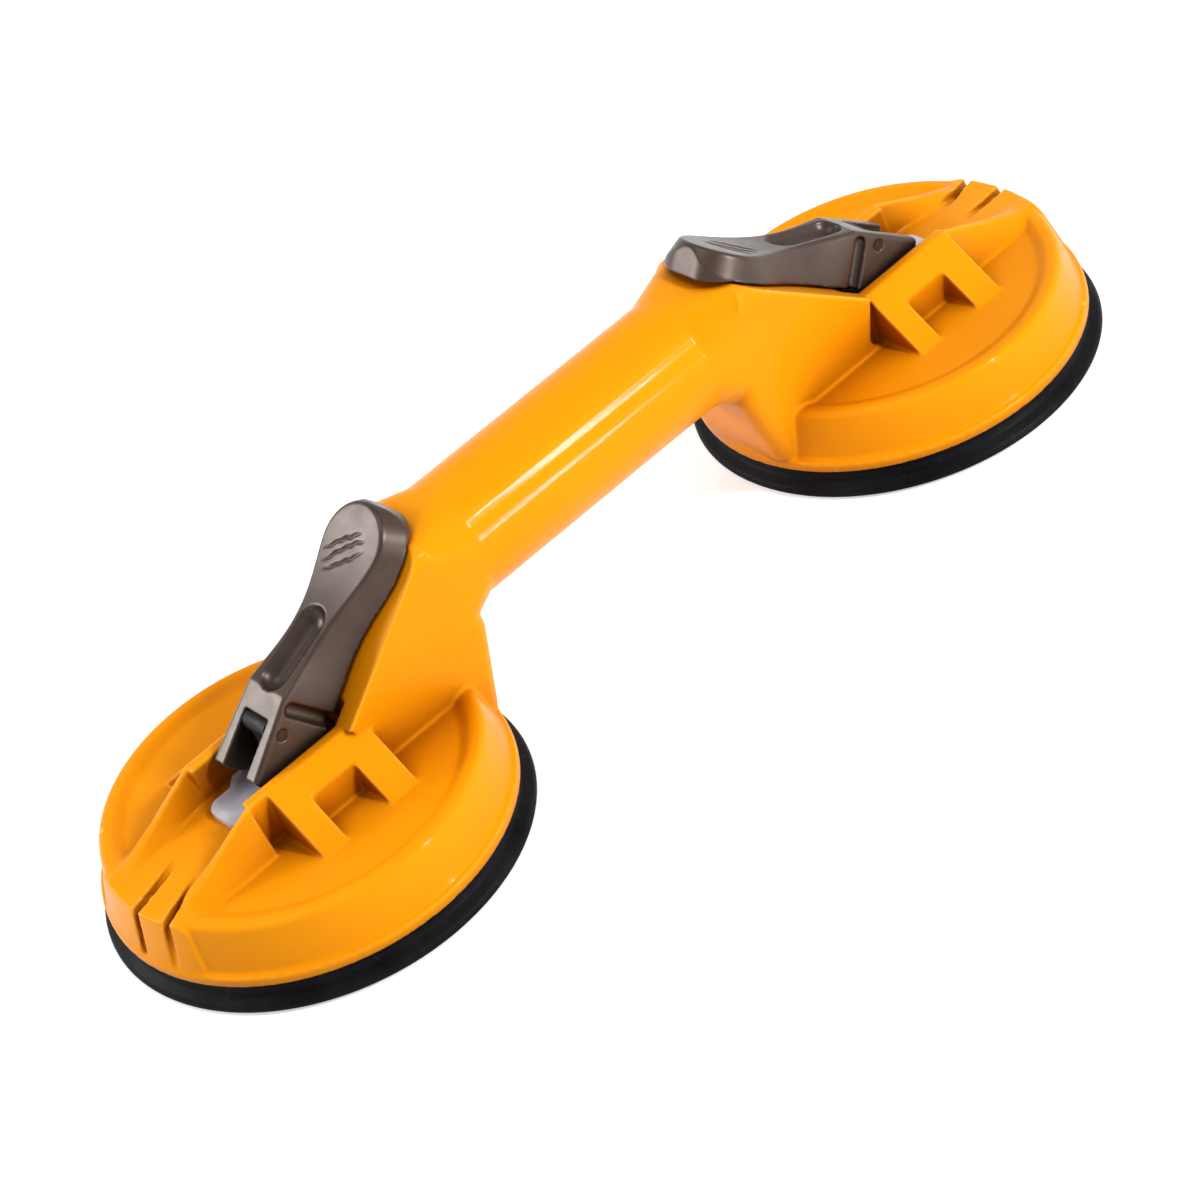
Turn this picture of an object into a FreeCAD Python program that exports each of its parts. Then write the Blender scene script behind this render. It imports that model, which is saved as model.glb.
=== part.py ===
import FreeCAD, Part
import math
import os

# Two-cup suction lifter, in millimetres and degrees. +X runs along the handle, +Z is up, and the cups stand on
# the floor at z = 0, with the origin on the floor midway between them. A head is drawn about its own cup:
# the cup's axis is x = 0 and +x points inward, to the handle. The left head lies at -X. The right head is the
# left one turned half a turn about Z, and so is every piece in it.

# Cups
cup_spacing = 215.0
cup_radius = 58.4
cup_rim_height = 7.4
cup_waist_inset = 2.2
cup_bead_height = 1.1
cup_edge_inset = 0.8
seal_width = 7.0
dome_height = 3.0
membrane = 3.5
membrane_flat_radius = 40.0

# Shell of each head
lip_inset = 2.4
lip_height = 3.2
lip_width = 1.6
shoulder_radius = 51.2
shell_rise = 16.3
shoulder_round = 3.0
deck_recess = 1.5
deck_ring_width = 3.4
deck_ring_slope = 3.0
wall = 3.0

# Saddle and nose of each head
cheek_rise = 14.3
cheek_half = 14.0
well_half = 10.6
well_depth = 10.5
well_inner_end = 18.0
nose_base_half = 18.5
nose_base_flare = 3.5
nose_proud = 0.9
crest_land = 1.0
crest_break = 25.0
finger_start = 33.0
finger_end = 45.0
nose_reach = 58.0
nose_break_crest = 11.3
nose_finger_crest = 7.2
nose_end_crest = 2.1
nose_tip_crest = 0.3
finger_floor = 3.3
nose_end_floor = 1.6
nose_tip_floor = 0.4
finger_floor_half = 8.5
groove_width = 2.2
groove_depth = 2.3
near_groove_side = 2.2
near_groove_swing = 9.0
far_groove_side = -7.6
far_groove_swing = 17.0

# Gussets on each side of a head, E-shaped from above
gusset_reach = 17.0
gusset_bar = 6.0
gusset_outer_leg = 8.2
gusset_inner_leg = 9.4
gusset_notch = 13.8
gusset_shift = 2.8

# Necks and handle
handle_radius = 16.7
handle_rise = 28.4
handle_wall = 3.8
neck_flush = 0.3
neck_wall = 3.5
neck_top_round = 5.5
neck_corner_round = 5.0
neck_foot = 26.0
neck_toe_run = 5.5
neck_overhang = 9.7
neck_foot_overhang = 4.2
blend_length = 16.0
ramp_angle = 39.3

# Levers, drawn about the pivot, along the ramp and across it
cam_lift = 15.3
cam_drop = 2.2
open_angle = 110.0
cam_gap = 0.2
prong_angle = 70.0
lever_depth = 12.4
ramp_gap = 0.5
head_thickness = 15.5
prong_half = 9.3
prong_foot_half = 10.0
corner_along = 9.0
corner_half = 7.8
corner_foot_half = 9.6
brow_along = 18.5
brow_thickness = 12.3
brow_half = 6.7
brow_foot_half = 9.6
waist_along = 29.0
waist_thickness = 9.4
waist_half = 6.6
waist_foot_half = 10.0
dish_along = 40.0
dish_thickness = 7.4
dish_half = 9.0
dish_foot_half = 12.7
pad_along = 49.2
pad_thickness = 6.7
pad_half = 11.0
pad_foot_half = 13.7
lever_length = 60.7
tip_round = 10.5
tip_sag = 3.0
lever_edge_round = 1.2
slot_half = 4.75
flank_groove_radius = 2.0
flank_groove_along = 6.6
flank_groove_land = 1.2
recess_start = 8.5
recess_end = 32.0
recess_radius = 4.9
recess_depth = 3.4

# Pins, stems and the pieces round them
pin_radius = 1.5
pin_play = 0.05
pin_end_inset = 0.2
eye_radius = 3.0
eye_side_play = 0.35
eye_end_play = 0.4
stem_radius = 3.0
stem_play = 0.05
nut_flats = 10.0
nut_height = 5.0
backing_radius = 36.0
backing_thickness = 2.0
backing_edge_rise = 2.0
bush_wall = 2.0
bush_flange_width = 2.5
bush_flange_thickness = 1.5
washer_thickness = 1.0
washer_play = 0.4
spring_pocket_radius = 14.5
pocket_roof = 6.0
spring_radius = 10.5
spring_wire = 1.8
spring_turns = 3.0
spring_seat_gap = 0.05
wear_thickness = 1.5
wear_side_play = 0.3
wear_tongue_half = 7.2
wear_tongue_end = 21.0
wear_inner = 9.5
wear_hole_play = 0.6

# Heights, all worked out from the floor up
rim_top = cup_rim_height
lip_top = rim_top + lip_height
ring_top = rim_top + shell_rise
deck = ring_top - deck_recess
cheek_top = deck + cheek_rise
well_floor = cheek_top - well_depth
wear_top = well_floor + wear_thickness
pin_z = wear_top + cam_lift
handle_z = deck + handle_rise
handle_top = handle_z + handle_radius
handle_under = handle_z - handle_radius
ceiling = deck - wall
pocket_top = well_floor - pocket_roof
membrane_top = dome_height + membrane
plate_top = membrane_top + backing_thickness
washer_top = pocket_top - bush_flange_thickness
washer_under = washer_top - washer_thickness

# Radii and widths that follow from the sizes above
lip_radius = cup_radius - lip_inset
wall_foot_radius = lip_radius - lip_width
neck_half = handle_radius + neck_flush
neck_end = shoulder_radius + neck_overhang
neck_foot_end = shoulder_radius + neck_foot_overhang
bush_bore = stem_radius + stem_play
bush_radius = bush_bore + bush_wall
wear_hole = stem_radius + wear_hole_play
slot_end_radius = eye_radius + eye_end_play
eye_half = slot_half - eye_side_play
half_spacing = cup_spacing / 2
gusset_length = gusset_outer_leg + gusset_notch + gusset_inner_leg
saddle_end = gusset_shift + gusset_length / 2
slack = 1.0
cam_steps = 6

# Directions along the ramp and square to it
along_x = math.cos(math.radians(ramp_angle))
along_z = math.sin(math.radians(ramp_angle))


def vec(x, y, z):
    return FreeCAD.Vector(x, y, z)


def ramp_z(x):
    """Height of the ramp at x: the plane one gap below the lever's flat underside."""
    return pin_z + (x * along_z - lever_depth - ramp_gap) / along_x


def lever_bottom_z(x):
    """Height of the closed lever's flat underside at x."""
    return ramp_z(x) + ramp_gap / along_x


def ramp_x(z):
    """Where the ramp reaches height z."""
    return (lever_depth + ramp_gap + (z - pin_z) * along_x) / along_z


def lever_point(along, up):
    """Point (x, z) of the closed lever, given along the ramp's slope and square to it from the pivot."""
    return along * along_x - up * along_z, pin_z + along * along_z + up * along_x


def outline(corners, place):
    """Closed wire through (a, b) or (a, b, radius) corners, each radius a tangent arc in place of the corner."""
    count = len(corners)
    starts = []
    ends = []
    arcs = []
    for index, corner in enumerate(corners):
        here = vec(corner[0], corner[1], 0)
        if len(corner) == 2:
            starts.append(here)
            ends.append(here)
            arcs.append(None)
            continue
        before = corners[index - 1]
        after = corners[(index + 1) % count]
        back = vec(before[0], before[1], 0) - here
        ahead = vec(after[0], after[1], 0) - here
        half_turn = back.getAngle(ahead) / 2
        room = min(back.Length, ahead.Length) / 2
        radius = min(corner[2], room * math.tan(half_turn))
        tangent = radius / math.tan(half_turn)
        back.normalize()
        ahead.normalize()
        middle = back + ahead
        middle.normalize()
        starts.append(here + back * tangent)
        ends.append(here + ahead * tangent)
        arcs.append(here + middle * (radius / math.sin(half_turn) - radius))
    edges = []
    for index in range(count):
        if arcs[index] is not None:
            bend = (starts[index], arcs[index], ends[index])
            edges.append(Part.Arc(*[place(p.x, p.y) for p in bend]).toShape())
        goal = starts[(index + 1) % count]
        if ends[index].distanceToPoint(goal) > 1e-6:
            run = (ends[index], goal)
            edges.append(Part.makeLine(*[place(p.x, p.y) for p in run]))
    return Part.Wire(edges)


def plate_y(corners, half):
    """Solid of an (x, z) outline, from y = -half to half."""
    wire = outline(corners, lambda x, z: vec(x, -half, z))
    return Part.Face(wire).extrude(vec(0, 2 * half, 0))


def plate_x(corners, low, high):
    """Solid of a (y, z) outline, from x = low to high."""
    wire = outline(corners, lambda y, z: vec(low, y, z))
    return Part.Face(wire).extrude(vec(high - low, 0, 0))


def plate_z(corners, low, high):
    """Solid of an (x, y) outline, from z = low to high."""
    wire = outline(corners, lambda x, y: vec(x, y, low))
    return Part.Face(wire).extrude(vec(0, 0, high - low))


def turned(corners):
    """Solid of an (r, z) outline turned about the cup's axis."""
    wire = outline(corners, lambda r, z: vec(r, 0, z))
    return Part.Face(wire).revolve(vec(0, 0, 0), vec(0, 0, 1), 360)


def box(x0, x1, y0, y1, z0, z1):
    return Part.makeBox(x1 - x0, y1 - y0, z1 - z0, vec(x0, y0, z0))


def drum(radius, low, high):
    return Part.makeCylinder(radius, high - low, vec(0, 0, low))


def drum_y(radius, half, x, z):
    return Part.makeCylinder(radius, 2 * half, vec(x, -half, z), vec(0, 1, 0))


def half_turn(shape):
    """The same shape turned half a turn about Z."""
    copy = shape.copy()
    copy.rotate(vec(0, 0, 0), vec(0, 0, 1), 180)
    return copy


def mirrored(shape):
    """The same shape on the other side of the head's middle plane."""
    return shape.mirror(vec(0, 0, 0), vec(0, 1, 0))


def to_left(shape):
    """A head's piece, moved to the left cup."""
    copy = shape.copy()
    copy.translate(vec(-half_spacing, 0, 0))
    return copy


# Casting


def shell():
    """Round dish of the head, solid here, with its lip, leaning wall and sunken deck."""
    ring_inner = shoulder_radius - deck_ring_width
    return turned([
        (0, rim_top),
        (lip_radius, rim_top),
        (lip_radius, lip_top, lip_width / 2),
        (wall_foot_radius, lip_top, lip_width / 2),
        (shoulder_radius, ring_top, shoulder_round),
        (ring_inner, ring_top, deck_ring_slope),
        (ring_inner - deck_ring_slope, deck, deck_ring_slope),
        (0, deck),
    ])


def nose_stations():
    """Sections of the nose from the well to the rim: distance out, crest height, floor height, floor half-width."""
    return [
        (saddle_end, cheek_rise, well_floor - deck, well_half),
        (crest_break, nose_break_crest, well_floor - deck, well_half - crest_land),
        (finger_start, nose_finger_crest, finger_floor, finger_floor_half),
        (finger_end, nose_end_crest, nose_end_floor, finger_floor_half),
        (nose_reach, nose_tip_crest, nose_tip_floor, finger_floor_half),
    ]


def nose():
    """Ridge from the saddle to the rim, wide at its foot, held to a little outside the shell's wall."""
    wires = []
    for out, crest, floor, floor_half in nose_stations():
        wires.append(outline([
            (-nose_base_half - nose_base_flare, lip_top),
            (-nose_base_half, deck),
            (-cheek_half, deck + crest),
            (cheek_half, deck + crest),
            (nose_base_half, deck),
            (nose_base_half + nose_base_flare, lip_top),
        ], lambda y, z, x=-out: vec(x, y, z)))
    ridge = Part.makeLoft(wires, True, True)
    envelope = turned([
        (0, lip_top),
        (wall_foot_radius + nose_proud, lip_top),
        (shoulder_radius + nose_proud, ring_top, shoulder_round),
        (0, ring_top + 2 * shoulder_radius),
    ])
    return ridge.common(envelope)


def nose_channel():
    """Hollow between the nose's two crests."""
    wires = []
    for out, crest, floor, floor_half in nose_stations():
        top = max(crest, floor) + slack
        wires.append(outline([
            (-cheek_half + crest_land, deck + top),
            (-floor_half, deck + floor),
            (floor_half, deck + floor),
            (cheek_half - crest_land, deck + top),
        ], lambda y, z, x=-out: vec(x, y, z)))
    return Part.makeLoft(wires, True, True)


def finger_groove(start_out, start_y, swing):
    """Groove between two finger ribs: along the nose, over the shoulder and down the wall."""
    bottom = shoulder_radius + nose_proud - groove_depth
    blade = plate_y([
        (-start_out, cheek_top),
        (-start_out, deck + finger_floor),
        (-finger_end, deck + nose_end_floor - groove_depth),
        (-bottom, ring_top - groove_depth, shoulder_round),
        (-wall_foot_radius - nose_proud + groove_depth / 2, lip_top),
        (-2 * cup_radius, lip_top),
        (-2 * cup_radius, cheek_top),
    ], groove_width / 2)
    blade.translate(vec(start_out, 0, 0))
    blade.rotate(vec(0, 0, 0), vec(0, 0, 1), swing)
    blade.translate(vec(-start_out, start_y, 0))
    return blade


def gusset():
    """Sloping wedge on the -Y side of the saddle, with a notch that leaves two legs."""
    start = gusset_shift - gusset_length / 2
    tip = cheek_half + gusset_reach
    wedge = plate_x([
        (-cheek_half + slack, cheek_top),
        (-cheek_half, cheek_top),
        (-tip, deck),
        (-tip, ceiling + slack),
        (-cheek_half + slack, ceiling + slack),
    ], start, start + gusset_length)
    notch_start = start + gusset_outer_leg
    notch = box(notch_start, notch_start + gusset_notch, -tip - slack, -cheek_half - gusset_bar, deck, cheek_top)
    return wedge.cut(notch)


def neck():
    """Block that carries the handle: flat sides, the ramp on top and a steep inner face."""
    toe = ramp_x(cheek_top)
    top = ramp_x(handle_top)
    block = plate_y([
        (toe, ceiling + slack),
        (toe, cheek_top),
        (top, handle_top),
        (top + slack, handle_top),
        (neck_end - slack, handle_z),
        (neck_end, handle_under),
        (neck_foot_end, lip_top),
        (neck_foot, lip_top),
        (neck_foot, ceiling + slack),
    ], neck_half)
    inner_edges = []
    for edge in block.Edges:
        middle = edge.CenterOfMass
        ends = [v.Point for v in edge.Vertexes]
        steep = abs(ends[0].z - ends[-1].z) > lip_height
        if steep and middle.x > top and abs(middle.y) > handle_radius and middle.z < handle_z:
            inner_edges.append(edge)
    block = block.makeFillet(neck_corner_round, inner_edges)
    arch = plate_x([
        (-neck_half, 0),
        (-neck_half, handle_top, neck_top_round),
        (neck_half, handle_top, neck_top_round),
        (neck_half, 0),
    ], 0, neck_end + slack)
    toe_cut = plate_y([
        (toe - slack, deck),
        (toe + neck_toe_run, deck + slack, neck_toe_run),
        (toe + slack, cheek_top),
        (toe - slack, cheek_top),
    ], neck_half + slack)
    side_toe = toe_cut.cut(box(toe - 2 * slack, neck_foot, -cheek_half, cheek_half, deck - slack, cheek_top + slack))
    return block.common(arch).cut(side_toe)


def neck_blend():
    """Change of section from the neck's square shoulders to the round handle."""
    start = ramp_x(handle_top)
    wires = []
    for x, half, under, round_top, round_under in (
        (start, neck_half, handle_under, neck_top_round, slack),
        (start + blend_length, handle_radius, handle_under, handle_radius - slack / 2, handle_radius - slack / 2),
    ):
        wires.append(outline([
            (-half, under, round_under),
            (-half, handle_top, round_top),
            (half, handle_top, round_top),
            (half, under, round_under),
        ], lambda y, z, x=x: vec(x, y, z)))
    return Part.makeLoft(wires, True, True)


def neck_core():
    """Hollow in the neck, open to the head below and to the handle's bore."""
    inner = neck_foot - neck_wall + slack
    drop = neck_wall / along_x
    top = ramp_x(handle_top)
    return plate_y([
        (inner, ceiling - slack),
        (inner, ramp_z(inner) - drop),
        (top, ramp_z(top) - drop),
        (neck_end - neck_wall, handle_z),
        (neck_end - neck_wall - slack, handle_under),
        (neck_foot_end - neck_wall - slack, ceiling - slack),
    ], neck_half - neck_wall)


def head_cavity():
    """Hollow under the dish, with a deeper round pocket for the spring."""
    mouth = wall_foot_radius - wall + slack
    dish = turned([
        (0, rim_top - slack),
        (mouth, rim_top - slack),
        (mouth, rim_top),
        (shoulder_radius - wall, ceiling, wall),
        (0, ceiling),
    ])
    return dish.fuse(drum(spring_pocket_radius, ceiling - slack, pocket_top))


def head():
    """One head with its neck, about its own cup."""
    wedge = gusset()
    saddle = box(-saddle_end, neck_foot - slack, -cheek_half, cheek_half, ceiling + slack, cheek_top)
    ramp_cut = plate_y([
        (ramp_x(cheek_top), cheek_top),
        (neck_foot, cheek_top),
        (neck_foot, ramp_z(neck_foot)),
    ], cheek_half)
    solid = shell().multiFuse([nose(), saddle.cut(ramp_cut), wedge, half_turn(wedge), neck(), neck_blend()])
    well = box(-saddle_end, well_inner_end, -well_half, well_half, well_floor, handle_top)
    cuts = [
        well,
        nose_channel(),
        finger_groove(finger_start, near_groove_side, near_groove_swing),
        finger_groove(finger_start + groove_width, far_groove_side, far_groove_swing),
        head_cavity(),
        neck_core(),
        drum(bush_radius, ceiling, well_floor + slack),
    ]
    for cut in cuts:
        solid = solid.cut(cut)
    return solid


def body_casting():
    """Both heads and the handle in one casting."""
    left = to_left(head())
    reach = half_spacing - ramp_x(handle_top) - blend_length
    start = vec(-reach, 0, handle_z)
    grip = Part.makeCylinder(handle_radius, 2 * reach, start, vec(1, 0, 0))
    bore_reach = half_spacing - ramp_x(handle_top)
    bore_start = vec(-bore_reach, 0, handle_z)
    bore = Part.makeCylinder(handle_radius - handle_wall, 2 * bore_reach, bore_start, vec(1, 0, 0))
    return left.multiFuse([half_turn(left), grip]).cut(bore).removeSplitter()


# Moving pieces


def cam_point(opened):
    """Point (x, z) of the closed lever's cam that meets the wear plate when the lever is opened by this angle."""
    radius = cam_lift - cam_drop * opened / open_angle - cam_gap
    turn = math.radians(270 - opened)
    return radius * math.cos(turn), pin_z + radius * math.sin(turn)


def lever_profile():
    """Side view of the closed lever as a thick plate: cams, flat underside and a thumb end that hangs over the handle."""
    step_angle = prong_angle / cam_steps
    cam = [cam_point(prong_angle - step * step_angle) for step in range(cam_steps + 1)]
    reach = pad_along + 2 * pad_foot_half
    prong_reach = cam[0][0] * along_x + (cam[0][1] - pin_z) * along_z
    path = [
        cam[-1],
        (cam[-1][0] + eye_radius, cam[-1][1]),
        lever_point(flank_groove_along + flank_groove_radius, -lever_depth),
        (ramp_x(handle_top), lever_bottom_z(ramp_x(handle_top))),
        lever_point(pad_along + pad_foot_half, -lever_depth - tip_sag),
        lever_point(reach, -lever_depth - tip_sag),
        lever_point(reach, 2 * head_thickness),
        lever_point(prong_reach, 2 * head_thickness),
        cam[0],
    ]

    def spot(point):
        return vec(point[0], -2 * pad_foot_half, point[1])

    cam_curve = Part.BSplineCurve()
    cam_curve.interpolate([spot(point) for point in cam])
    edges = [cam_curve.toShape()]
    for first, second in zip(path, path[1:]):
        edges.append(Part.makeLine(spot(first), spot(second)))
    return Part.Face(Part.Wire(edges)).extrude(vec(0, 4 * pad_foot_half, 0))


def lever_section(along, thickness, half, foot_half):
    """Section of the lever square to the ramp: flat top, rounded top edges and flanks that lean in."""
    top = thickness - lever_depth
    return outline([
        (-foot_half, -lever_depth),
        (-half, top, lever_edge_round),
        (half, top, lever_edge_round),
        (foot_half, -lever_depth),
    ], lambda y, z: vec(along, y, z))


def fork_half(along):
    """Half-width of the fork at the pivot's height above the underside."""
    raised = lever_depth / head_thickness
    prong = prong_foot_half + (prong_half - prong_foot_half) * raised
    corner = corner_foot_half + (corner_half - corner_foot_half) * raised
    return prong + (corner - prong) * (along + cam_lift) / (corner_along + cam_lift)


def lever_blank():
    """Fork end, arm and round thumb end, before the slot, the recess and the side view are cut."""
    fork = Part.makeLoft([
        lever_section(-cam_lift, head_thickness, prong_half, prong_foot_half),
        lever_section(corner_along, head_thickness, corner_half, corner_foot_half),
    ], True, True)
    arm = Part.makeLoft([
        lever_section(corner_along, head_thickness, corner_half, corner_foot_half),
        lever_section(brow_along, brow_thickness, brow_half, brow_foot_half),
        lever_section(waist_along, waist_thickness, waist_half, waist_foot_half),
        lever_section(dish_along, dish_thickness, dish_half, dish_foot_half),
        lever_section(pad_along, pad_thickness, pad_half, pad_foot_half),
    ], True, False)
    lean = (pad_foot_half - pad_half) / pad_thickness
    top = pad_thickness - lever_depth
    low = -2 * lever_depth
    low_radius = pad_half + lean * (top - low)
    thumb = turned([
        (0, low),
        (low_radius, low),
        (pad_half, top, lever_edge_round),
        (0, top),
    ]).common(box(0, low_radius, -low_radius, low_radius, low, top))
    thumb.translate(vec(pad_along, 0, 0))
    plan = plate_z([
        (-cam_lift, -pad_foot_half),
        (lever_length, -pad_foot_half, tip_round),
        (lever_length, pad_foot_half, tip_round),
        (-cam_lift, pad_foot_half),
    ], low, head_thickness)
    return on_ramp(fork.multiFuse([arm, thumb]).common(plan))


def on_ramp(shape):
    """A shape drawn flat about the pivot, turned to the ramp's slope and lifted to the pivot."""
    copy = shape.copy()
    copy.rotate(vec(0, 0, 0), vec(0, 1, 0), -ramp_angle)
    copy.translate(vec(0, 0, pin_z))
    return copy


def lever_slot():
    """Gap between the prongs, wide open where the stem passes as the lever turns."""
    turn = math.radians(180 - open_angle)
    lean = vec(math.cos(turn), 0, math.sin(turn))
    away = vec(-lean.z, 0, lean.x)
    pivot = vec(0, -slot_half, pin_z)
    right = pivot + vec(slot_end_radius, 0, 0)
    crown = pivot + lean * slot_end_radius
    middle_turn = turn / 2
    middle = pivot + vec(math.cos(middle_turn), 0, math.sin(middle_turn)) * slot_end_radius
    far = 3 * cam_lift
    corners = [crown, crown + away * far, vec(-far, -slot_half, pin_z - far), vec(slot_end_radius, -slot_half, pin_z - far)]
    edges = [Part.Arc(right, middle, crown).toShape()]
    path = corners + [right]
    for first, second in zip(path, path[1:]):
        edges.append(Part.makeLine(first, second))
    return Part.Face(Part.Wire(edges)).extrude(vec(0, 2 * slot_half, 0))


def flank_groove():
    """Cutter for the groove down one flank, leaning with it, with a round end below the lever's top.

    Its seam is turned to the open side, so that no seam runs along the flank.
    """
    lean = math.atan2(corner_foot_half - corner_half, head_thickness)
    end = head_thickness - lever_depth - flank_groove_land - flank_groove_radius
    cutter = Part.makeCylinder(flank_groove_radius, 2 * lever_depth + end, vec(0, 0, -2 * lever_depth))
    cutter = cutter.fuse(Part.makeSphere(flank_groove_radius, vec(0, 0, end)))
    cutter.rotate(vec(0, 0, 0), vec(0, 0, 1), 90)
    cutter.rotate(vec(0, 0, 0), vec(1, 0, 0), math.degrees(lean))
    cutter.translate(vec(flank_groove_along, fork_half(flank_groove_along), 0))
    return on_ramp(cutter)


def lever_recess():
    """Cutter for the round-ended trough in the arm's top, parallel to the line from the corner to the waist."""
    fall = math.atan2(head_thickness - waist_thickness, waist_along - corner_along)
    lift = recess_radius - recess_depth
    half_width = math.sqrt(recess_radius ** 2 - lift ** 2)
    first = vec(half_width, 0, lift)
    last = vec((recess_end - recess_start) / math.cos(fall) - half_width, 0, lift)
    trough = Part.makeCylinder(recess_radius, last.x - first.x, first, vec(1, 0, 0))
    cutter = trough.multiFuse([Part.makeSphere(recess_radius, first), Part.makeSphere(recess_radius, last)])
    cutter.rotate(vec(0, 0, 0), vec(0, 1, 0), math.degrees(fall))
    cutter.translate(vec(recess_start, 0, head_thickness - lever_depth))
    return on_ramp(cutter)


def lever():
    """Lever with its fork, its cams and the thumb end, closed on the ramp."""
    solid = lever_blank().common(lever_profile())
    groove = flank_groove()
    cuts = [
        lever_slot(),
        drum_y(pin_radius, prong_foot_half + slack, 0, pin_z),
        groove,
        mirrored(groove),
        lever_recess(),
    ]
    for cut in cuts:
        solid = solid.cut(cut)
    return solid


def pivot_pin():
    return drum_y(pin_radius, fork_half(0) - pin_end_inset, 0, pin_z)


def stem():
    """Pull stem: a round shank from the backing plate up to a flat-sided eye on the pivot pin."""
    shank = drum(stem_radius, membrane_top, pin_z)
    eye = drum_y(eye_radius, eye_half, 0, pin_z)
    return shank.fuse(eye).cut(drum_y(pin_radius + pin_play, eye_half + slack, 0, pin_z)).removeSplitter()


def stem_nut():
    """Hexagon lock nut on the stem's foot."""
    corner = nut_flats / math.sqrt(3)
    points = []
    for step in range(6):
        turn = math.radians(60 * step)
        points.append((corner * math.cos(turn), corner * math.sin(turn)))
    hexagon = plate_z(points, plate_top, plate_top + nut_height)
    return hexagon.cut(drum(stem_radius, plate_top - slack, plate_top + nut_height + slack))


def backing_plate():
    """Steel dish with a turned-up edge, on top of the rubber."""
    return turned([
        (stem_radius, membrane_top),
        (backing_radius, membrane_top, backing_thickness),
        (backing_radius, plate_top + backing_edge_rise),
        (backing_radius - backing_thickness, plate_top + backing_edge_rise),
        (backing_radius - backing_thickness, plate_top, backing_thickness / 2),
        (stem_radius, plate_top),
    ])


def suction_cup():
    """Rubber cup, drawn up in the middle: a flat sealing ring, a beaded rim and a thinner middle."""
    seal_outer = cup_radius - cup_edge_inset
    seal_inner = seal_outer - seal_width
    return turned([
        (0, dome_height),
        (membrane_flat_radius, dome_height, membrane_flat_radius),
        (seal_inner, 0),
        (seal_outer, 0, cup_edge_inset),
        (cup_radius, cup_bead_height, cup_bead_height / 2),
        (cup_radius - cup_waist_inset, rim_top - cup_edge_inset, cup_edge_inset),
        (lip_radius, rim_top),
        (seal_inner, rim_top),
        (membrane_flat_radius, membrane_top, membrane_flat_radius),
        (0, membrane_top),
    ])


def return_spring():
    """Coil spring between the spring washer and the backing plate, pressed together as the cup is drawn up."""
    low = plate_top + spring_wire / 2 + spring_seat_gap
    height = washer_under - spring_wire / 2 - spring_seat_gap - low
    helix = Part.makeHelix(height / spring_turns, height, spring_radius)
    helix.translate(vec(0, 0, low))
    ring = Part.Wire([Part.makeCircle(spring_wire / 2, vec(spring_radius, 0, low), vec(0, 1, 0))])
    return Part.Wire(helix.Edges).makePipeShell([ring], True, True)


def spring_washer():
    outer = spring_radius + spring_wire + washer_play
    inner = stem_radius + washer_play
    return drum(outer, washer_under, washer_top).cut(drum(inner, washer_under - slack, washer_top + slack))


def guide_bush():
    """Flanged bush, pressed up into the casting round the stem."""
    sleeve = drum(bush_radius, washer_top, well_floor)
    flange = drum(bush_radius + bush_flange_width, washer_top, pocket_top)
    bore = drum(bush_bore, washer_top - slack, well_floor + slack)
    return sleeve.fuse(flange).cut(bore).removeSplitter()


def wear_plate():
    """Steel plate in the well, under the cams, with a round-ended tongue that shows outboard of the fork."""
    half = well_half - wear_side_play
    return plate_z([
        (wear_inner, -half),
        (wear_inner, half),
        (-wear_inner, half, wear_thickness),
        (-wear_inner - (half - wear_tongue_half), wear_tongue_half, wear_thickness),
        (-wear_tongue_end, wear_tongue_half, wear_tongue_half),
        (-wear_tongue_end, -wear_tongue_half, wear_tongue_half),
        (-wear_inner - (half - wear_tongue_half), -wear_tongue_half, wear_thickness),
        (-wear_inner, -half, wear_thickness),
    ], well_floor, wear_top).cut(drum(wear_hole, well_floor - slack, wear_top + slack))


head_pieces = {
    "lever": lever,
    "pivot_pin": pivot_pin,
    "stem": stem,
    "stem_nut": stem_nut,
    "backing_plate": backing_plate,
    "suction_cup": suction_cup,
    "return_spring": return_spring,
    "spring_washer": spring_washer,
    "guide_bush": guide_bush,
    "wear_plate": wear_plate,
}

os.makedirs("parts", exist_ok=True)
body_casting().exportStep("parts/body_casting.step")
for name, make in head_pieces.items():
    piece = to_left(make())
    piece.exportStep("parts/left_" + name + ".step")
    half_turn(piece).exportStep("parts/right_" + name + ".step")
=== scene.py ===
import math

import bpy
import numpy as np
from mathutils import Matrix, Vector

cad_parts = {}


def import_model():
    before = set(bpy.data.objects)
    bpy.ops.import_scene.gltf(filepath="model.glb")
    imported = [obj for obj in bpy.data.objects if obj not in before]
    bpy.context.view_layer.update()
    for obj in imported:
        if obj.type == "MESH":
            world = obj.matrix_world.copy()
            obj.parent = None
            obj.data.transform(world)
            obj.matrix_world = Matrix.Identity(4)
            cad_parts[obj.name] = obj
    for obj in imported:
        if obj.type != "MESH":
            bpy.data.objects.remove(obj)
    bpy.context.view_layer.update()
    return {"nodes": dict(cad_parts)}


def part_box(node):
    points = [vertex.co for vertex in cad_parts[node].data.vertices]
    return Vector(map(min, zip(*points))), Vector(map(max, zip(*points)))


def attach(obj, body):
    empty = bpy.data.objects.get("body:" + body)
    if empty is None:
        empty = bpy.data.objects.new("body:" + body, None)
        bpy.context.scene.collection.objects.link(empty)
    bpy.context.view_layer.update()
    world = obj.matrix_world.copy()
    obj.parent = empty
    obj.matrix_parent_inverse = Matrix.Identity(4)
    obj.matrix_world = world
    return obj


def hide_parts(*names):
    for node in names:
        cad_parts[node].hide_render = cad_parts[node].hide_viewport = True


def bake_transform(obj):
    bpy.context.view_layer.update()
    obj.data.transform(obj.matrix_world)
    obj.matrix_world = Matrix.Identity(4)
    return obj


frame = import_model()
nodes = frame["nodes"]

MM = 0.001

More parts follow.
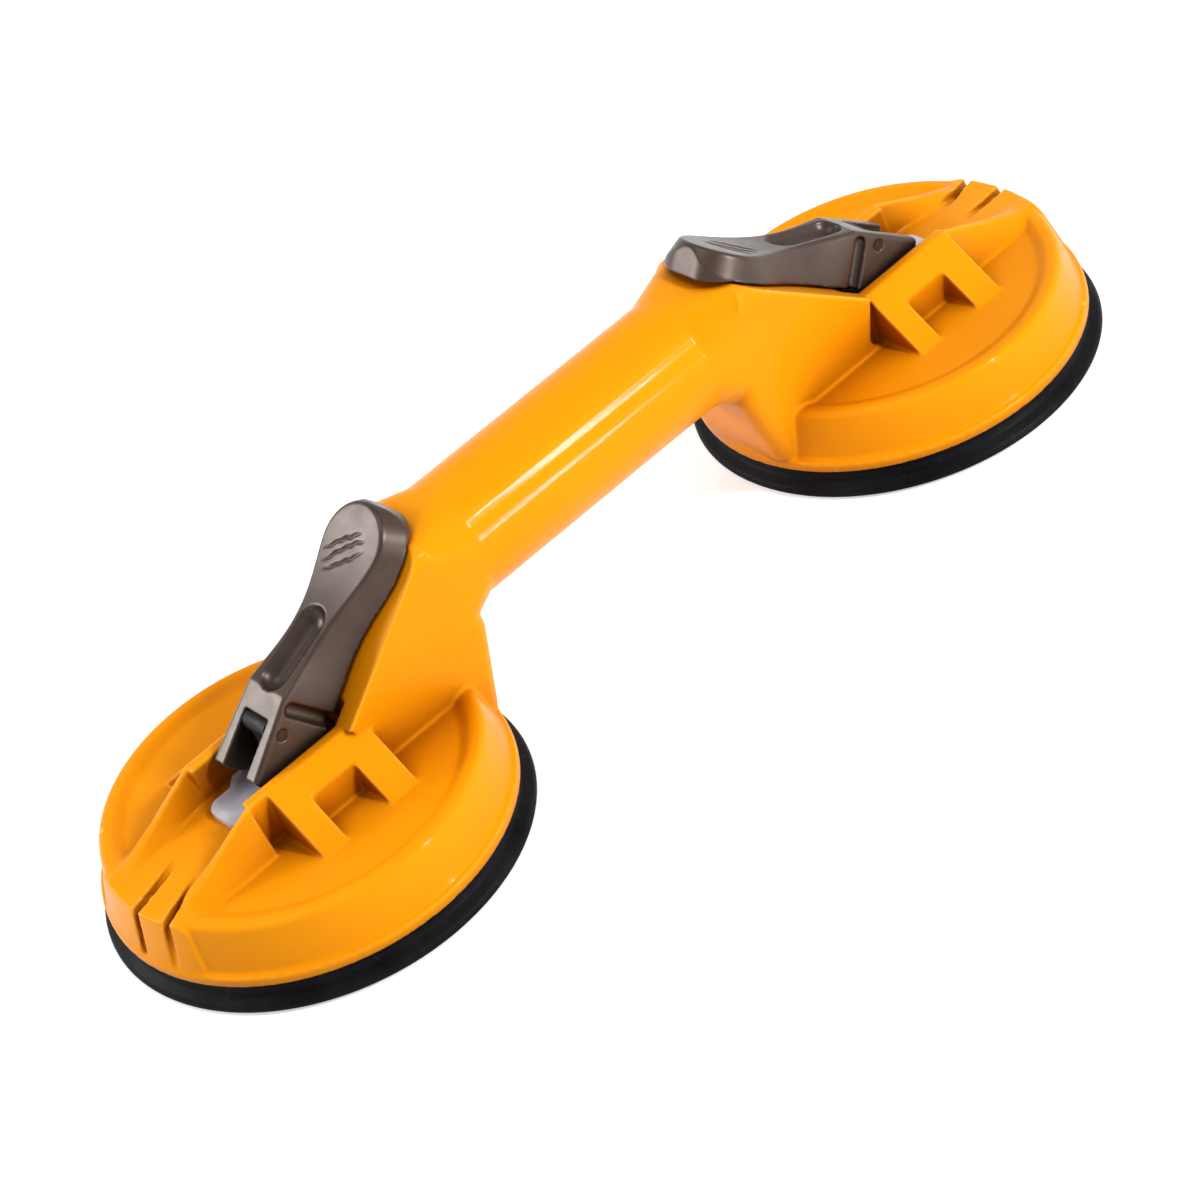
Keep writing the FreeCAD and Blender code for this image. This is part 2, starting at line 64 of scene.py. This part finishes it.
# The two heads, and the side of the origin on which each stands along X
SIDES = {"left": -1, "right": 1}

# Camera, fitted to the photograph: its place, its axes in the world and its lens
CAMERA_PLACE = Vector((-0.384176, -0.702118, 0.620860))
CAMERA_RIGHT = Vector((0.709911, -0.640348, -0.293225))
CAMERA_UP = Vector((0.596517, 0.325347, 0.733700))
CAMERA_BACK = Vector((-0.374424, -0.695776, 0.612946))
CAMERA_LENS = 114.53
CAMERA_SENSOR = 36.0
CAMERA_NEAREST = 0.01

# Remeshed skins: grain, rounds of softening, and how far each round moves a point
CASTING_VOXEL = 0.42 * MM
CASTING_SOFTENING = 9
LEVER_VOXEL = 0.30 * MM
LEVER_SOFTENING = 10
SOFTENING_FACTOR = 0.5
MOST_TRIANGLES = 185000

# Grip lines on the thumb pads: points along and across the pad from the pivot, in mm
GRIP_LINES = (
    ((45.4, 8.2), (47.8, 5.4), (50.0, 2.5), (51.3, 0.0), (53.4, -2.5)),
    ((42.4, 6.8), (45.5, 4.0), (47.8, 1.2), (50.0, -1.6), (51.6, -4.8)),
    ((40.7, 5.3), (42.7, 2.3), (44.9, -0.5), (46.5, -2.9), (49.4, -5.3)),
)
GRIP_DEPTH = 0.65 * MM
GRIP_WIDTH = 0.36 * MM
GRIP_TAPER = 0.7
GRIP_STEPS = 8
GRIP_WAVE = 0.15
GRIP_WAVE_START = 0.1
PAD_SLOPE = math.radians(39.3)
PAD_LOWEST = -8.0
PAD_FACING = 0.6
PIVOT_REACH = 107.5 * MM
PIVOT_HEIGHT = 42.8 * MM

# Cup: the outer rim's outline as (way in from the radius, height, rounding), in mm
RIM_OUTLINE = (
    (1.4, 0, 0.5),
    (0, 0.9, 0.6),
    (0.5, 2.4, 1.0),
    (3.4, 4.2, 0.7),
    (3.9, 6.0, 0.6),
    (2.7, 7.0, 0.3),
)
RIM_TOP_INSET = 2.9
RIM_TOP_ROUNDING = 0.2
RIM_WIDTH = 8.0
RIM_INNER_ROUNDING = 0.5
RIM_SOLE_ROUNDING = 0.3
RING_STEPS = 192

# Cup: the two skins of the middle
SKIN_FLAT_SHARE = 0.68
SKIN_HOLE = 0.5 * MM
SKIN_OVERLAP = 0.4 * MM
SKIN_BEND = 8 * MM
SKIN_CURVE_STEPS = 10
DOME_HEIGHT = 3.0 * MM
UNDER_THICKNESS = 1.3 * MM
UNDER_EDGE_LOW = 0.05 * MM
UNDER_EDGE_HIGH = 1.2 * MM
OVER_THICKNESS = 1.6 * MM
OVER_EDGE_LOW = 2.6 * MM
OVER_EDGE_HIGH = 4.4 * MM

# Studio: floor, background and lamps (name, place, aim, width and height in metres, watts)
STAGE_REACH = 6.0
FLOOR_DROP = 0.15 * MM
FLOOR_GREY = (0.80, 0.80, 0.80, 1)
GLOW_NEAR = 0.3
GLOW_FAR = 0.9
GLOW_NEAR_LEVEL = 0.52
GLOW_FAR_LEVEL = 0.80
SKY_LEVEL = 0.36
SKY_LOW = 0.1
SKY_HIGH = 0.7
SKY_HIGH_LEVEL = 0.45
WHITE = (1.0, 1.0, 1.0, 1)
LAMPS = (
    ("key", (0.52, -0.97, 0.89), (0, 0, 0.03), (0.075, 0.28), 12.5),
    ("low_key", (0.53, -1.30, 0.19), (0, 0, 0.03), (0.07, 0.16), 4.2),
    ("overhead", (-0.15, 0.2, 1.3), (0, 0, 0.03), (0.6, 0.6), 2.8),
    ("window", (-0.72, 0.86, 0.60), (-0.05, 0, 0.05), (0.40, 0.40), 5.4),
    ("glint", (-0.98, 0.78, 0.56), (-0.15, 0, 0.03), (0.12, 0.12), 3.0),
)

# Rays that measure how close other surfaces stand, for the shade painted into hollows
HOLLOW_RAYS = 6

# Colours, linear
ORANGE = (1.0, 0.345, 0.003, 1)
ORANGE_DEEP = (0.90, 0.27, 0.002, 1)
# Pale orange for sharp edges: partly thin paint, partly a painted highlight
ORANGE_PALE_PAINT_AND_HIGHLIGHT = (1.0, 0.60, 0.08, 1)
# Painted shade: deep brown-orange mixed into the enamel where other surfaces stand close
ORANGE_PAINTED_SHADE = (0.30, 0.070, 0.0005, 1)
ORANGE_SHEEN = (1.0, 0.45, 0.03, 1)
LEVER_DARK = (0.028, 0.014, 0.010, 1)
LEVER_LIGHT = (0.062, 0.036, 0.027, 1)
LEVER_WORN = (0.16, 0.13, 0.11, 1)
# Painted shade: near-black mixed into the lever's hollows and creases
LEVER_PAINTED_SHADE = (0.012, 0.007, 0.004, 1)
LEVER_SHEEN = (1.0, 0.82, 0.70, 1)
RUBBER_DARK = (0.004, 0.004, 0.005, 1)
RUBBER_GREY = (0.012, 0.012, 0.014, 1)
RUBBER_DUST = (0.035, 0.034, 0.033, 1)
STEEL_LIGHT = (0.52, 0.53, 0.55, 1)
STEEL_DARK = (0.24, 0.25, 0.27, 1)
BLACKENED = (0.004, 0.003, 0.003, 1)
BLACKENED_LIGHT = (0.012, 0.010, 0.009, 1)
BRONZE_LIGHT = (0.60, 0.38, 0.16, 1)
BRONZE_DARK = (0.33, 0.19, 0.07, 1)
WEAR_LIGHT = (0.82, 0.84, 0.95, 1)
WEAR_DARK = (0.52, 0.53, 0.62, 1)


# Materials


class Tree:
    """A node tree, with short calls to add nodes and join them."""

    def __init__(self, tree):
        self.tree = tree

    def add(self, kind, inputs=None, **settings):
        node = self.tree.nodes.new(kind)
        for key, value in settings.items():
            setattr(node, key, value)
        for key, value in (inputs or {}).items():
            self.put(node.inputs[key], value)
        return node

    def put(self, socket, value):
        if isinstance(value, bpy.types.NodeSocket):
            self.tree.links.new(value, socket)
        else:
            socket.default_value = value

    def span(self, value, low, high, out_low, out_high):
        """The value, taken from the range low to high into the range out_low to out_high."""
        inputs = {"Value": value, "From Min": low, "From Max": high, "To Min": out_low, "To Max": out_high}
        return self.add("ShaderNodeMapRange", inputs).outputs["Result"]

    def joined(self, operation, first, second):
        return self.add("ShaderNodeMath", {0: first, 1: second}, operation=operation).outputs[0]


class Material(Tree):
    """A new material, whose colour and relief follow the piece's own place."""

    def __init__(self, name):
        self.material = bpy.data.materials.new(name)
        self.material.use_nodes = True
        super().__init__(self.material.node_tree)
        self.shader = self.tree.nodes["Principled BSDF"]
        self.place = self.add("ShaderNodeTexCoord").outputs["Object"]
        self.relief = None

    def noise(self, scale, detail=4.0, roughness=0.55, stretch=None):
        place = self.place
        if stretch:
            place = self.add("ShaderNodeMapping", {"Vector": place, "Scale": stretch}).outputs["Vector"]
        inputs = {"Vector": place, "Scale": scale, "Detail": detail, "Roughness": roughness}
        return self.add("ShaderNodeTexNoise", inputs).outputs["Fac"]

    def mix(self, factor, first, second):
        node = self.add("ShaderNodeMix", {"Factor": factor, 6: first, 7: second}, data_type="RGBA")
        return node.outputs[2]

    def edge(self, low, high, out_low, out_high):
        """A value that follows how sharply the surface bends: high on edges, low in hollows."""
        point = self.add("ShaderNodeNewGeometry").outputs["Pointiness"]
        return self.span(point, low, high, out_low, out_high)

    def hollow(self, reach, low, high, strength):
        """A mask for painted shade: a value that rises to the strength where other surfaces stand close round
        this one, where shade would fall.
        """
        rays = self.add("ShaderNodeAmbientOcclusion", {"Distance": reach}, samples=HOLLOW_RAYS)
        return self.span(rays.outputs["AO"], low, high, strength, 0)

    def bump(self, height, depth, strength):
        """One more relief on top of those before it; its depth is in metres."""
        inputs = {"Height": height, "Distance": depth, "Strength": strength}
        if self.relief is not None:
            inputs["Normal"] = self.relief
        self.relief = self.add("ShaderNodeBump", inputs).outputs["Normal"]
        self.put(self.shader.inputs["Normal"], self.relief)

    def surface(self, **values):
        for key, value in values.items():
            self.put(self.shader.inputs[key.replace("_", " ")], value)
        return self.material


def orange_enamel():
    m = Material("orange_enamel")
    clouds = m.span(m.noise(scale=28, detail=5), low=0.38, high=0.72, out_low=0, out_high=0.28)
    # Sharp edges go pale: partly thin paint, partly a painted highlight where edges would catch the light
    thin_paint_and_highlight = m.edge(low=0.51, high=0.57, out_low=0, out_high=0.7)
    # Painted shade: the enamel darkens in creases and hollows, where other surfaces stand close and shade falls
    painted_shade = m.hollow(reach=26 * MM, low=0.40, high=0.90, strength=0.95)
    colour = m.mix(clouds, ORANGE, ORANGE_DEEP)
    colour = m.mix(thin_paint_and_highlight, colour, ORANGE_PALE_PAINT_AND_HIGHLIGHT)
    colour = m.mix(painted_shade, colour, ORANGE_PAINTED_SHADE)
    m.bump(m.noise(scale=16, detail=3), depth=1.2 * MM, strength=0.16)
    m.bump(m.noise(scale=750, detail=2), depth=0.04 * MM, strength=0.22)
    rough = m.span(m.noise(scale=90, detail=6), low=0.3, high=0.7, out_low=0.30, out_high=0.42)
    return m.surface(
        Base_Color=colour, Roughness=rough, Specular_IOR_Level=0.12, Specular_Tint=ORANGE_SHEEN,
        Coat_Weight=0.14, Coat_IOR=1.32, Coat_Roughness=0.075)


def lever_moulding():
    m = Material("lever_moulding")
    streaks = m.noise(scale=70, detail=5, roughness=0.6, stretch=(1.0, 2.5, 1.0))
    streaks = m.span(streaks, low=0.35, high=0.7, out_low=0.1, out_high=0.9)
    worn_edges = m.edge(low=0.52, high=0.60, out_low=0, out_high=0.6)
    # Painted shade: the lever darkens in its recess and hollows, where other surfaces stand close
    painted_shade = m.hollow(reach=16 * MM, low=0.45, high=0.92, strength=1.0)
    # Painted shade in creases: concave places darken too
    crease_shade = m.edge(low=0.40, high=0.47, out_low=1.0, out_high=0)
    colour = m.mix(streaks, LEVER_DARK, LEVER_LIGHT)
    colour = m.mix(worn_edges, colour, LEVER_WORN)
    colour = m.mix(painted_shade, colour, LEVER_PAINTED_SHADE)
    colour = m.mix(crease_shade, colour, LEVER_PAINTED_SHADE)
    m.bump(m.noise(scale=45, detail=3), depth=0.5 * MM, strength=0.12)
    m.bump(m.noise(scale=1300, detail=3), depth=0.03 * MM, strength=0.30)
    rough = m.span(m.noise(scale=160, detail=6), low=0.3, high=0.7, out_low=0.30, out_high=0.42)
    return m.surface(
        Base_Color=colour, Roughness=rough, Specular_IOR_Level=0.5, Specular_Tint=LEVER_SHEEN,
        Coat_Weight=0.22, Coat_Roughness=0.32)


def rubber():
    m = Material("cup_rubber")
    clouds = m.span(m.noise(scale=60, detail=6), low=0.35, high=0.75, out_low=0, out_high=1)
    specks = m.span(m.noise(scale=420, detail=3), low=0.62, high=0.8, out_low=0, out_high=0.5)
    colour = m.mix(clouds, RUBBER_DARK, RUBBER_GREY)
    colour = m.mix(specks, colour, RUBBER_DUST)
    m.bump(m.noise(scale=30, detail=3), depth=0.6 * MM, strength=0.15)
    m.bump(m.noise(scale=900, detail=4), depth=0.05 * MM, strength=0.35)
    rough = m.span(m.noise(scale=120, detail=5), low=0.3, high=0.7, out_low=0.40, out_high=0.55)
    return m.surface(Base_Color=colour, Roughness=rough, Specular_IOR_Level=0.06)


def metal(name, light, dark, smoothest, roughest, stretch=(1, 1, 1), shine=1.0):
    """Turned, drawn or plated metal, its grain square to an axis whose stretch is over 1."""
    m = Material(name)
    clouds = m.span(m.noise(scale=90, detail=6), low=0.3, high=0.7, out_low=0, out_high=1)
    grain = m.noise(scale=500, detail=4, roughness=0.6, stretch=stretch)
    wear = m.noise(scale=200, detail=5, roughness=0.6, stretch=stretch)
    m.bump(grain, depth=0.06 * MM, strength=0.35)
    rough = m.span(wear, low=0.3, high=0.7, out_low=smoothest, out_high=roughest)
    return m.surface(
        Base_Color=m.mix(clouds, light, dark), Roughness=rough, Metallic=shine, Specular_IOR_Level=0.25)


enamel = orange_enamel()
moulding = lever_moulding()
black_rubber = rubber()
finishes = {
    "pivot_pin": metal("blackened_steel", LEVER_LIGHT, LEVER_DARK, 0.30, 0.45, shine=0.3),
    "stem": metal("blackened_stem", BLACKENED_LIGHT, BLACKENED, 0.42, 0.6, stretch=(1, 1, 8), shine=0.0),
    "stem_nut": metal("zinc_plate", STEEL_LIGHT, STEEL_DARK, 0.25, 0.42),
    "backing_plate": metal("pressed_zinc", STEEL_LIGHT, STEEL_DARK, 0.28, 0.48),
    "spring_washer": metal("washer_zinc", STEEL_LIGHT, STEEL_DARK, 0.25, 0.42),
    "return_spring": metal("spring_wire", STEEL_LIGHT, STEEL_DARK, 0.3, 0.45),
    "guide_bush": metal("bush_bronze", BRONZE_LIGHT, BRONZE_DARK, 0.3, 0.5),
    "wear_plate": metal("rubbed_blue_steel", WEAR_LIGHT, WEAR_DARK, 0.34, 0.5, stretch=(1, 6, 1), shine=0.55),
}


# Meshes


def finish_piece(piece, material):
    piece.data.materials.clear()
    piece.data.materials.append(material)
    piece.data.shade_smooth()


def new_object(name, data):
    thing = bpy.data.objects.new(name, data)
    bpy.context.scene.collection.objects.link(thing)
    return thing


def new_piece(name, points, faces):
    mesh = bpy.data.meshes.new(name)
    mesh.from_pydata(points, [], faces)
    mesh.validate()
    return new_object(name, mesh)


def apply_modifiers(piece):
    graph = bpy.context.evaluated_depsgraph_get()
    mesh = bpy.data.meshes.new_from_object(piece.evaluated_get(graph))
    piece.modifiers.clear()
    old = piece.data
    piece.data = mesh
    bpy.data.meshes.remove(old)


def soft_copy(name, node, voxel, rounds):
    """Copy of a CAD node with one even skin and softly rounded edges, as a casting or a moulding has."""
    piece = new_object(name, nodes[node].data.copy())
    skin = piece.modifiers.new("skin", "REMESH")
    skin.mode = "VOXEL"
    skin.voxel_size = voxel
    soften = piece.modifiers.new("soften", "SMOOTH")
    soften.factor = SOFTENING_FACTOR
    soften.iterations = rounds
    apply_modifiers(piece)
    triangles = 2 * len(piece.data.polygons)
    if triangles > MOST_TRIANGLES:
        thin = piece.modifiers.new("thin", "DECIMATE")
        thin.ratio = MOST_TRIANGLES / triangles
        apply_modifiers(piece)
    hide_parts(node)
    return piece


def point_values(piece, kind):
    """Each point's place (co) or normal, as rows of three numbers."""
    flat = np.zeros(len(piece.data.vertices) * 3)
    piece.data.vertices.foreach_get(kind, flat)
    return flat.reshape(-1, 3)


def turned(name, outline, centre):
    """Closed ring or disc: a closed (r, z) outline turned about the cup's axis."""
    points = []
    for step in range(RING_STEPS):
        turn = 2 * math.pi * step / RING_STEPS
        for r, z in outline:
            points.append((centre + r * math.cos(turn), r * math.sin(turn), z))
    count = len(outline)
    faces = []
    for step in range(RING_STEPS):
        ahead = (step + 1) % RING_STEPS
        for i in range(count):
            j = (i + 1) % count
            faces.append((step * count + i, ahead * count + i, ahead * count + j, step * count + j))
    return new_piece(name, points, faces)


def rounded(corners, steps=5):
    """Closed outline with each (r, z, radius) corner replaced by a short curve."""
    out = []
    count = len(corners)
    for i, (r, z, radius) in enumerate(corners):
        here = Vector((r, z))
        if radius <= 0:
            out.append(here)
            continue
        back = Vector(corners[i - 1][:2]) - here
        ahead = Vector(corners[(i + 1) % count][:2]) - here
        reach = min(radius, back.length / 2, ahead.length / 2)
        first = here + back.normalized() * reach
        last = here + ahead.normalized() * reach
        for k in range(steps + 1):
            t = k / steps
            out.append(first * (1 - t) ** 2 + here * (2 * t * (1 - t)) + last * t ** 2)
    return [(p.x, p.y) for p in out]


# Casting

casting = soft_copy("casting_skin", "body_casting", CASTING_VOXEL, CASTING_SOFTENING)
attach(casting, "root")
finish_piece(casting, enamel)

# Levers, with three wavy grip lines pressed into the thumb pad


def wavy(line):
    """Points along a line of straight runs, with one small wave to each run."""
    bends = []
    for (x, y), (next_x, next_y) in zip(line, line[1:]):
        run_x = next_x - x
        run_y = next_y - y
        long = math.hypot(run_x, run_y)
        for k in range(GRIP_STEPS):
            t = k / GRIP_STEPS
            wave = GRIP_WAVE * math.sin(2 * math.pi * (t + GRIP_WAVE_START))
            bends.append((x + run_x * t - run_y / long * wave, y + run_y * t + run_x / long * wave))
    return bends


def press_grip(lever, side):
    """Press the grip lines into the pad: side is -1 for the left head and 1 for the right."""
    points = point_values(lever, "co")
    inward = np.array((-side * math.cos(PAD_SLOPE), 0.0, math.sin(PAD_SLOPE)))
    upward = np.array((side * math.sin(PAD_SLOPE), 0.0, math.cos(PAD_SLOPE)))
    offset = points - np.array((side * PIVOT_REACH, 0.0, PIVOT_HEIGHT))
    along = offset @ inward / MM
    across = offset[:, 1] * -side / MM
    height = offset @ upward / MM
    facing = point_values(lever, "normal") @ upward
    depth = np.zeros(len(points))
    for line in GRIP_LINES:
        bends = wavy(line)
        for number, (x, y) in enumerate(bends):
            thickness = math.sin(math.pi * (number + 0.5) / len(bends)) ** GRIP_TAPER
            away = np.hypot(along - x, across - y) * MM
            depth = np.maximum(depth, GRIP_DEPTH * thickness * np.exp(-(away / GRIP_WIDTH) ** 2))
    depth[(facing < PAD_FACING) | (height < PAD_LOWEST)] = 0
    pressed = points - depth[:, None] * upward
    lever.data.vertices.foreach_set("co", pressed.reshape(-1))
    lever.data.update()


for head, side in SIDES.items():
    lever = soft_copy(head + "_lever_skin", head + "_lever", LEVER_VOXEL, LEVER_SOFTENING)
    press_grip(lever, side)
    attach(lever, head + "_lever")
    finish_piece(lever, moulding)

# Cups


def cup(head):
    """Rim, and two skins that reach from the stem in the middle to the rim at their edge."""
    low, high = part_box(head + "_suction_cup")
    centre = (low.x + high.x) / 2
    radius = (high.x - low.x) / 2
    inner = radius - RIM_WIDTH * MM
    outline = [(inner, 0, RIM_SOLE_ROUNDING * MM)]
    for inset, height, rounding in RIM_OUTLINE:
        outline.append((radius - inset * MM, height * MM, rounding * MM))
    outline.append((radius - RIM_TOP_INSET * MM, high.z, RIM_TOP_ROUNDING * MM))
    outline.append((inner, high.z, RIM_INNER_ROUNDING * MM))
    rim = turned(head + "_cup_rim", rounded(outline), centre)
    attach(rim, "root")
    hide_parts(head + "_suction_cup")
    finish_piece(rim, black_rubber)

    flat = radius * SKIN_FLAT_SHARE
    skin_edge = inner + SKIN_OVERLAP
    under = turned(head + "_cup_underside", rounded([
        (SKIN_HOLE, DOME_HEIGHT, 0),
        (flat, DOME_HEIGHT, SKIN_BEND),
        (skin_edge, UNDER_EDGE_LOW, 0),
        (skin_edge, UNDER_EDGE_HIGH, 0),
        (flat, DOME_HEIGHT + UNDER_THICKNESS, SKIN_BEND),
        (SKIN_HOLE, DOME_HEIGHT + UNDER_THICKNESS, 0),
    ], SKIN_CURVE_STEPS), centre)
    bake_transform(under)
    finish_piece(under, black_rubber)

    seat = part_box(head + "_backing_plate")[0].z
    over = turned(head + "_cup_top", rounded([
        (SKIN_HOLE, seat, 0),
        (SKIN_HOLE, seat - OVER_THICKNESS, 0),
        (flat, seat - OVER_THICKNESS, SKIN_BEND),
        (skin_edge, OVER_EDGE_LOW, 0),
        (skin_edge, OVER_EDGE_HIGH, 0),
        (flat, seat, SKIN_BEND),
    ], SKIN_CURVE_STEPS), centre)
    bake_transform(over)
    finish_piece(over, black_rubber)


for head in SIDES:
    cup(head)

# Springs

for head in SIDES:
    node = head + "_return_spring"
    spring = new_object(head + "_spring_coil", nodes[node].data.copy())
    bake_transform(spring)
    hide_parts(node)
    finish_piece(spring, finishes["return_spring"])

# Finishes of the pieces that keep their CAD shape

for head in SIDES:
    for part, material in finishes.items():
        node = nodes[head + "_" + part]
        node.data.materials.clear()
        node.data.materials.append(material)


# Studio


def floor():
    """Pale floor. It glows a little more far off, where no lamp reaches, to meet the white background."""
    half = STAGE_REACH
    corners = [(-half, -half), (half, -half), (half, half), (-half, half)]
    plane = new_piece("floor", [(x, y, -FLOOR_DROP) for x, y in corners], [(0, 1, 2, 3)])
    m = Material("studio_floor")
    path = m.add("ShaderNodeLightPath").outputs
    seen = m.joined("MAXIMUM", path["Is Camera Ray"], path["Is Glossy Ray"])
    seen = m.joined("MAXIMUM", seen, path["Is Transmission Ray"])
    distance = m.add("ShaderNodeVectorMath", {0: m.place}, operation="LENGTH").outputs["Value"]
    glow = m.span(distance, GLOW_NEAR, GLOW_FAR, GLOW_NEAR_LEVEL, GLOW_FAR_LEVEL)
    m.surface(
        Base_Color=FLOOR_GREY, Roughness=0.9, Specular_IOR_Level=0.1,
        Emission_Color=WHITE, Emission_Strength=m.joined("MULTIPLY", seen, glow))
    plane.data.materials.append(m.material)


def world():
    """Even dim light on the object. The camera sees white, and a mirror sees a room that is darker overhead."""
    sky = bpy.data.worlds.new("studio")
    sky.use_nodes = True
    bpy.context.scene.world = sky
    t = Tree(sky.node_tree)
    path = t.add("ShaderNodeLightPath").outputs
    direction = t.add("ShaderNodeTexCoord").outputs["Generated"]
    upward = t.add("ShaderNodeSeparateXYZ", {0: direction}).outputs["Z"]
    overhead = t.span(upward, SKY_LOW, SKY_HIGH, 1.0, SKY_HIGH_LEVEL)
    mirrored = t.joined("MULTIPLY", path["Is Glossy Ray"], overhead)
    clear = t.joined("MAXIMUM", path["Is Camera Ray"], path["Is Transmission Ray"])
    seen = t.joined("MAXIMUM", clear, mirrored)
    background = t.tree.nodes["Background"]
    t.put(background.inputs["Color"], WHITE)
    t.put(background.inputs["Strength"], t.joined("MAXIMUM", seen, SKY_LEVEL))


def lamp(name, place, aim, size, watts):
    light = bpy.data.lights.new(name, "AREA")
    light.shape = "RECTANGLE"
    light.size = size[0]
    light.size_y = size[1]
    light.energy = watts
    stand = new_object(name, light)
    stand.location = place
    stand.rotation_euler = (Vector(aim) - Vector(place)).to_track_quat("-Z", "Y").to_euler()


def camera():
    data = bpy.data.cameras.new("photo_camera")
    data.sensor_width = CAMERA_SENSOR
    data.sensor_height = CAMERA_SENSOR
    data.lens = CAMERA_LENS
    data.clip_start = CAMERA_NEAREST
    view = new_object("photo_camera", data)
    axes = Matrix((CAMERA_RIGHT, CAMERA_UP, CAMERA_BACK)).transposed().to_4x4()
    view.matrix_world = Matrix.Translation(CAMERA_PLACE) @ axes
    bpy.context.scene.camera = view


floor()
world()
for lamp_row in LAMPS:
    lamp(*lamp_row)
camera()

bpy.context.scene.view_settings.view_transform = "Standard"
